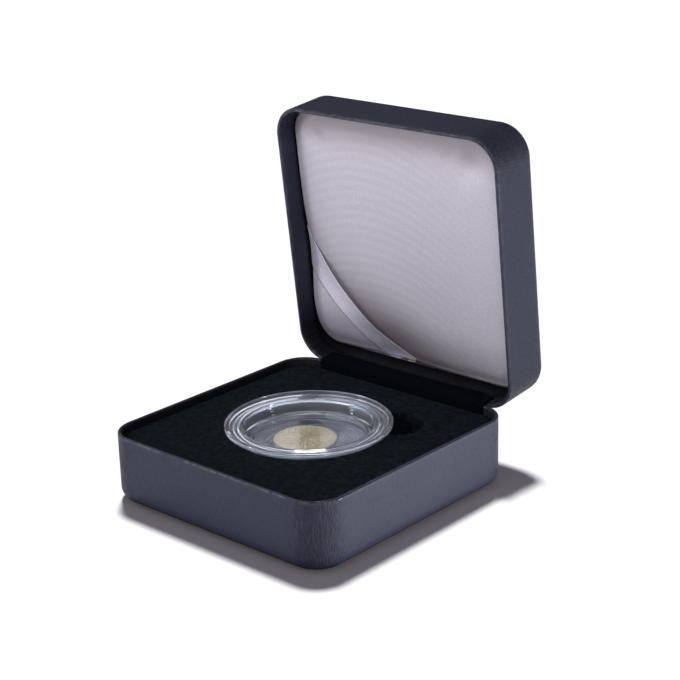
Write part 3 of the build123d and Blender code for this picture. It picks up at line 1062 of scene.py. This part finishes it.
# a groove is given by half its width, its depth and how far its sides' and bottom's corners are rounded
capsule = {
    "around": 192,
    "soften": 0.28,
    "core": 0.5,
    "foot": (23.0, 23.4),
    "footStep": 0.4,
    "footSoftness": 0.6,
    "wall": (23.75, 25.0),
    "floor": 16.0,
    "floorSoftness": 0.5,
    "floorGrooves": (13.6, 15.6, 17.4, 19.0, 20.4, 21.6),
    "floorGroove": (0.35, 0.28, 0.1, 0.1),
    "flangeUnder": 22.8,
    "flangeFrom": 27.6,
    "lipFrom": 27.7,
    "lipSoftness": 0.25,
    "seat": 23.9,
    "edge": 1.25,
    "plug": 23.55,
    "lidUnder": 24.0,
    "lidDrop": 0.3,
    "edgeFall": 0.42,
    "edgeRun": 0.97,
    "shelfGrooves": (27.5, 26.5, 25.6),
    "shelfGroove": (0.37, 0.16, 0.05, 0.06),
    "raisedBand": (24.95, 22.75),
    "ridges": 2,
    "ridgeHeight": 0.2,
    "ridgeTop": (0.42, 0.58),
    "windowWall": [(22.6, 23.9, 0.3), (22.5, 20.8, 0.2), (21.4, 20.3, 0.2)],
    "windowBeads": (19.4, 20.6),
    "windowBead": (0.25, -0.16, 0.12, 0.12),
    "milkyFrom": 22.3,
    "milkyAbove": 20.8,
}


def grooved(radii, height, groove):
    # turned V grooves from the outermost in, or beads where the depth is negative
    half, depth, sideSoftness, bottomSoftness = groove
    corners = []
    for radius in sorted(radii, reverse=True):
        corners.append((radius + half, height, sideSoftness))
        corners.append((radius, height - depth, bottomSoftness))
        corners.append((radius - half, height, sideSoftness))
    return corners


def turnedPiece(name, corners, body):
    # each corner is a radius, a height and a softness
    corners = np.array(corners)
    profile = filleted(corners[:, :2], corners[:, 2])
    angles = np.arange(capsule["around"]) / capsule["around"] * 2 * pi
    rings = np.array([[(r * cos(angle), r * sin(angle), z) for angle in angles] for r, z in profile])
    return pieceFrom(name, rings, body)


def finishCapsule(piece, node):
    # the flanges and the window's wall are a little milkier than the window
    finishPiece(piece, clearPlastic, "clear_plastic", node)
    piece.data.materials.append(ringPlastic)
    for face in piece.data.polygons:
        spot = face.center / mm
        if hypot(spot.x, spot.y) > capsule["milkyFrom"] and spot.z > capsule["milkyAbove"]:
            face.material_index = 1
    return piece


def makeCapsuleBase():
    soft, core, floor, seat = (capsule[part] for part in ("soften", "core", "floor", "seat"))
    low, high = nodeBox("capsule_base")
    under, step = capsule["flangeUnder"], low[2] + capsule["footStep"]
    footInner, footOuter = capsule["foot"]
    wallInner, wallOuter = capsule["wall"]
    corners = [
        (core, step, 0),
        (footInner, step, soft),
        (footOuter, low[2], soft),
        (wallOuter, low[2], capsule["footSoftness"]),
        (wallOuter, under, soft),
        (capsule["flangeFrom"], under, soft),
        (high[0], high[2] - capsule["edge"], 0.3),
        (high[0], high[2], capsule["lipSoftness"]),
        (capsule["lipFrom"], high[2], capsule["lipSoftness"]),
        (capsule["lipFrom"], seat, soft),
        (wallInner, seat, soft),
        (wallInner, floor, capsule["floorSoftness"]),
        *grooved(capsule["floorGrooves"], floor, capsule["floorGroove"]),
        (core, floor, 0),
    ]
    return finishCapsule(turnedPiece("capsuleTray", corners, "capsule"), "capsule_base")


def makeCapsuleLid():
    soft, core, plug, under = (capsule[part] for part in ("soften", "core", "plug", "lidUnder"))
    low, high = nodeBox("capsule_lid")
    shelf = high[2] - capsule["lidDrop"]
    corners = [
        (core, low[2], 0),
        (plug, low[2], soft),
        (plug, under, soft),
        (high[0], under, soft),
        (high[0], shelf - capsule["edgeFall"], 0.12),
        (high[0] - capsule["edgeRun"], shelf, 0.12),
        *grooved(capsule["shelfGrooves"], shelf, capsule["shelfGroove"]),
    ]
    # the raised band is turned in round ridges
    valley = high[2] - capsule["ridgeHeight"]
    outer, inner = capsule["raisedBand"]
    pitch = (outer - inner) / capsule["ridges"]
    for start in (outer - ridge * pitch for ridge in range(capsule["ridges"])):
        corners.append((start, valley, 0.04))
        corners += [(start - pitch * share, high[2], 0.1) for share in capsule["ridgeTop"]]
    corners += [(inner, valley, 0.1), *capsule["windowWall"]]
    window = corners[-1][1]
    corners += [*grooved(capsule["windowBeads"], window, capsule["windowBead"]), (core, window, 0)]
    return finishCapsule(turnedPiece("capsuleLid", corners, "capsule_top"), "capsule_lid")


capsuleTray = makeCapsuleBase()
capsuleLid = makeCapsuleLid()
print("capsule made")

# each row of petals is given by its inner and outer end, half width and turn
coin = {
    "rim": (1.25, 1.0),
    "field": 0.32,
    "relief": 0.28,
    "beads": 64,
    "beadRing": 9.4,
    "beadSize": 0.32,
    "petals": 8,
    "petalRows": [(1.6, 6.6, 0.9, 0.0), (3.4, 8.0, 0.45, 0.5)],
    "petalEdge": (0.4, 1.0),
    "studs": 32,
    "studPitch": 1.3,
    "studsFrom": (1.6, 2.4),
    "boss": (0.8, 1.3),
    "innermost": 0.15,
    "edgeInset": 0.2,
    "edgeRound": 0.12,
    "edgeShares": (0.08, 0.2, 0.5, 0.8, 0.92),
    "around": 384,
    "rings": 60,
}


def coinRelief(radius, angle, reach):
    # a beaded border round a plain rosette on a ground of studs
    relief = coin["relief"]
    rimFrom, rimTo = (reach - inset for inset in coin["rim"])
    height = coin["field"] * smooth(rimFrom, rimTo, radius)
    beadTurn = (angle * coin["beads"] / (2 * pi)) % 1 - 0.5
    beadAcross = beadTurn * 2 * pi * coin["beadRing"] / coin["beads"]
    height += relief * bump(np.hypot(radius - coin["beadRing"], beadAcross), coin["beadSize"])
    for inner, outer, width, offset in coin["petalRows"]:
        turn = (angle * coin["petals"] / (2 * pi) + offset) % 1 - 0.5
        aside = np.abs(turn) * 2 * pi / coin["petals"] * radius
        along = np.clip((radius - inner) / (outer - inner), 0, 1)
        petal = width * np.sin(along * pi) ** 0.7
        height += relief * (1 - smooth(*coin["petalEdge"], aside / np.maximum(petal, 1e-3)))
    studs = np.sin(angle * coin["studs"]) * np.sin(radius * 2 * pi / coin["studPitch"])
    height = np.maximum(height, relief * np.clip(studs, 0, 1) * smooth(*coin["studsFrom"], radius))
    return height + relief * (1 - smooth(*coin["boss"], radius))


def makeCoin():
    low, high = nodeBox("coin")
    centre = (low + high) / 2
    reach = (high[0] - low[0]) / 2
    thick = high[2] - low[2]
    angles = np.arange(coin["around"]) / coin["around"] * 2 * pi
    around = np.column_stack([np.cos(angles), np.sin(angles)])
    radii = np.linspace(coin["innermost"], reach - coin["edgeInset"], coin["rings"])

    def ringAt(radius, height):
        return raised(centre[:2] + radius * around, low[2] + height)

    def faceHeight(radius):
        relief = coinRelief(np.full(len(angles), radius), angles, reach)
        return np.minimum(thick - coin["field"] + relief, thick)

    rings = [ringAt(radius, thick - faceHeight(radius)) for radius in radii]
    for share in coin["edgeShares"]:
        rings.append(ringAt(reach - coin["edgeRound"] * (abs(share - 0.5) * 2) ** 4, thick * share))
    rings += [ringAt(radius, faceHeight(radius)) for radius in radii[::-1]]
    piece = pieceFrom("coinRosette", np.array(rings), "coin")
    return finishPiece(piece, coinAlloy, "coin_alloy", "coin")


coinPiece = makeCoin()
print("coin made")

# the trays, boards and hinge metal keep the frame's own meshes
keptFinishes = {
    "base_shell": sheetSteel,
    "lid_shell": sheetSteel,
    "insert_block": board,
    "lid_board": board,
    "lid_spacer": board,
    "hinge_base_leaf": hingeSteel,
    "hinge_lid_leaf": hingeSteel,
    "hinge_base_rivets": hingeSteel,
    "hinge_lid_rivets": hingeSteel,
    "hinge_pin": hingeSteel,
    "snap_spring_left": springSteel,
    "snap_spring_right": springSteel,
}
for name, material in keptFinishes.items():
    kept = frame["nodes"][name]
    kept.data.materials.clear()
    kept.data.materials.append(material)
print("kept pieces finished")

studio = {
    "floorColour": (0.93, 0.93, 0.94, 1.0),
    "floorGlow": (1.0, 0.8, 0.9, 1.0),
    "floorGlowStrength": 0.03,
    "floorSide": 4000.0,
    "skyColour": (0.93, 0.91, 1.0, 1.0),
    "seenColour": (1.0, 1.0, 1.0, 1.0),
    "skyTurn": (-0.2, 0.6),
    "skyLight": (0.15, 0.06),
    "mirrored": (0.9, 0.15),
    "footFrom": 35.0,
    "footInset": 0.75,
    "footBelow": 6.0,
    "footSunk": 5.0,
}
# directions turn from straight in front to the right, and up; lamps are sized and placed in metres
suns = {
    "shadowSun": {"towards": (-136.8, 66.3), "strength": 3.5, "spread": 9.0},
    "topSun": {"towards": (-136.8, 66.3), "strength": 0.35, "spread": 14.0},
}
softboxes = {
    "frontSoftbox": {"towards": (-6.0, 34.0), "reach": 0.9, "size": (0.5, 0.4), "power": 2.0},
    "satinSoftbox": {"towards": (6.0, 58.0), "reach": 0.6, "size": (0.3, 0.2), "power": 1.9},
    "leftSoftbox": {"towards": (-40.0, 16.0), "reach": 0.9, "size": (0.24, 0.5), "power": 0.9},
    "rightSoftbox": {"towards": (112.0, -4.0), "reach": 0.4, "size": (0.11, 0.08), "power": 1.3},
    "lidSoftbox": {"towards": (112.0, 10.0), "reach": 0.4, "size": (0.11, 0.17), "power": 0.55},
    "capsuleSoftbox": {"towards": (-136.8, 66.3), "reach": 0.5, "size": (0.13, 0.13), "power": 0.7},
    "leftStreak": {"towards": (-40.0, 20.0), "reach": 0.9, "size": (0.05, 0.6), "power": 4.5},
    "rightStreak": {"towards": (112.0, 20.0), "reach": 0.9, "size": (0.06, 0.6), "power": 5.0},
}


def direction(azimuth, elevation):
    azimuth, elevation = radians(azimuth), radians(elevation)
    return Vector((sin(azimuth) * cos(elevation), -cos(azimuth) * cos(elevation), sin(elevation)))


def makeFloor():
    side = studio["floorSide"]
    corners = np.array([[(x, y, 0.0) for x in (-side, side)] for y in (-side, side)])
    floor = pieceFrom("floor", corners, closeEnds=False, wrap=False)
    settings = {"Base Color": studio["floorColour"], "Roughness": 0.9, "Specular IOR Level": 0.1}
    settings["Emission Color"] = studio["floorGlow"]
    material, tree, shader = startMaterial("floor_white", settings)
    seen = addNode(tree, "ShaderNodeLightPath").outputs["Is Camera Ray"]
    feed(tree, shader.inputs["Emission Strength"], times(tree, seen, studio["floorGlowStrength"]))
    floor.data.materials.append(material)
    return floor


def makeSky():
    # white where it is looked at or looked through to, dimmer as light, and dimmest behind the case
    world = bpy.data.worlds.new("studio")
    bpy.context.scene.world = world
    world.use_nodes = True
    tree = world.node_tree
    background = tree.nodes["Background"]
    behind = axesOf(tree, addNode(tree, "ShaderNodeTexCoord").outputs["Generated"])["Y"]
    light, mirrored = (
        ramp(tree, behind, *studio["skyTurn"], *studio[strengths]) for strengths in ("skyLight", "mirrored")
    )
    path = addNode(tree, "ShaderNodeLightPath").outputs
    colour = mixColour(tree, path["Is Camera Ray"], studio["skyColour"], studio["seenColour"])
    feed(tree, background.inputs["Color"], colour)
    strength = mathNode(tree, "MAXIMUM", path["Is Camera Ray"], path["Is Transmission Ray"])
    for other in (times(tree, path["Is Glossy Ray"], mirrored), light):
        strength = mathNode(tree, "MAXIMUM", strength, other)
    feed(tree, background.inputs["Strength"], strength)


def linkedGroup(name, state, *members):
    group = bpy.data.collections.new(name)
    for place, member in enumerate(members):
        group.objects.link(member)
        group.collection_objects[place].light_linking.link_state = state
    return group


def addLamp(name, data, towards):
    lamp = bpy.data.objects.new(name, data)
    bpy.context.scene.collection.objects.link(lamp)
    lamp.rotation_mode = "QUATERNION"
    lamp.rotation_quaternion = towards.to_track_quat("Z", "Y")
    return lamp


def makeFootShade():
    # the floor shows the shadow of the lid's foot alone, cast by this unseen strip round the foot
    low, high = nodeBox("lid_cover", shut=True)
    inset = studio["footInset"]
    radius = cover["cornerRadius"] - inset
    loop = squareLoop(high[0] - inset, low[1] + inset, high[1] - inset, radius, 2, 16)[0]
    foot = loop[loop[:, 1] > studio["footFrom"]]
    foot = foot[np.argsort(np.arctan2(foot[:, 0], foot[:, 1]))]
    heights = (low[2] - studio["footBelow"], high[2] - studio["footSunk"])
    rings = np.array([raised(foot, height) for height in heights])
    shade = pieceFrom("footShade", opened(rings), closeEnds=False, wrap=False)
    shade.data.materials.append(sheetSteel)
    shade.parent = lidCover
    shade.matrix_parent_inverse = lidCover.matrix_world.inverted()
    shade.visible_camera = shade.visible_glossy = False
    shade.visible_diffuse = shade.visible_transmission = False
    return shade


def makeLamps(floor, footShade):
    # one sun shadows the floor and the other lamps light the case, so each keeps its own strength
    lidPieces = [lidCover, satinPad, liningRibbon]
    lidPieces += [frame["nodes"][name] for name in keptFinishes if name.startswith(("lid_", "hinge_lid_"))]
    onlyFloor = linkedGroup("onlyFloor", "INCLUDE", floor)
    notFloor = linkedGroup("notFloor", "EXCLUDE", floor)
    notShade = linkedGroup("notShade", "EXCLUDE", footShade)
    notShadeOrFloor = linkedGroup("notShadeOrFloor", "EXCLUDE", footShade, floor)
    notLid = linkedGroup("notLid", "EXCLUDE", *lidPieces)
    boxGroups = {
        "frontSoftbox": linkedGroup("notSatin", "EXCLUDE", floor, satinPad, liningRibbon),
        "satinSoftbox": linkedGroup("onlySatin", "INCLUDE", satinPad, liningRibbon),
        "rightSoftbox": linkedGroup("notLidCover", "EXCLUDE", floor, lidCover),
        "lidSoftbox": linkedGroup("onlyLidCover", "INCLUDE", lidCover),
    }
    onlyCapsule = linkedGroup("onlyCapsule", "INCLUDE", capsuleTray, capsuleLid, coinPiece)
    boxGroups |= {name: onlyCapsule for name in ("capsuleSoftbox", "leftStreak", "rightStreak")}
    for name, sun in suns.items():
        data = bpy.data.lights.new(name, "SUN")
        data.energy = sun["strength"]
        data.angle = radians(sun["spread"])
        lamp = addLamp(name, data, direction(*sun["towards"]))
        shadows = name == "shadowSun"
        lamp.light_linking.receiver_collection = onlyFloor if shadows else notFloor
        lamp.light_linking.blocker_collection = notLid if shadows else notShade
    for name, box in softboxes.items():
        data = bpy.data.lights.new(name, "AREA")
        data.shape = "RECTANGLE"
        data.size, data.size_y = box["size"]
        data.energy = box["power"]
        towards = direction(*box["towards"])
        lamp = addLamp(name, data, towards)
        lamp.location = towards * box["reach"]
        lamp.light_linking.receiver_collection = boxGroups.get(name, notFloor)
        # the right softbox reaches below the floor, as light thrown back by a white table does
        lamp.light_linking.blocker_collection = notShadeOrFloor if name == "rightSoftbox" else notShade


view = {
    "target": (15.68, 0.0, 58.59),
    "azimuth": 42.31,
    "elevation": 19.54,
    "roll": -1.6,
    "distance": 566.33,
    "lens": 89.89,
    "sensor": 36.0,
}


def makeCamera():
    back = direction(view["azimuth"], view["elevation"])
    level = direction(view["azimuth"] + 90, 0)
    roll = radians(view["roll"])
    upright = back.cross(level)
    right = level * cos(roll) + upright * sin(roll)
    up = upright * cos(roll) - level * sin(roll)
    place = (Vector(view["target"]) + back * view["distance"]) * mm
    data = bpy.data.cameras.new("camera")
    data.lens = view["lens"]
    data.sensor_width = view["sensor"]
    data.clip_start = 0.01
    camera = bpy.data.objects.new("camera", data)
    bpy.context.scene.collection.objects.link(camera)
    turn = Matrix((right, up, back)).transposed().to_4x4()
    camera.matrix_world = Matrix.Translation(place) @ turn
    bpy.context.scene.camera = camera


floor = makeFloor()
makeSky()
makeLamps(floor, makeFootShade())
makeCamera()
bpy.context.scene.view_settings.view_transform = "Standard"
print("studio made")
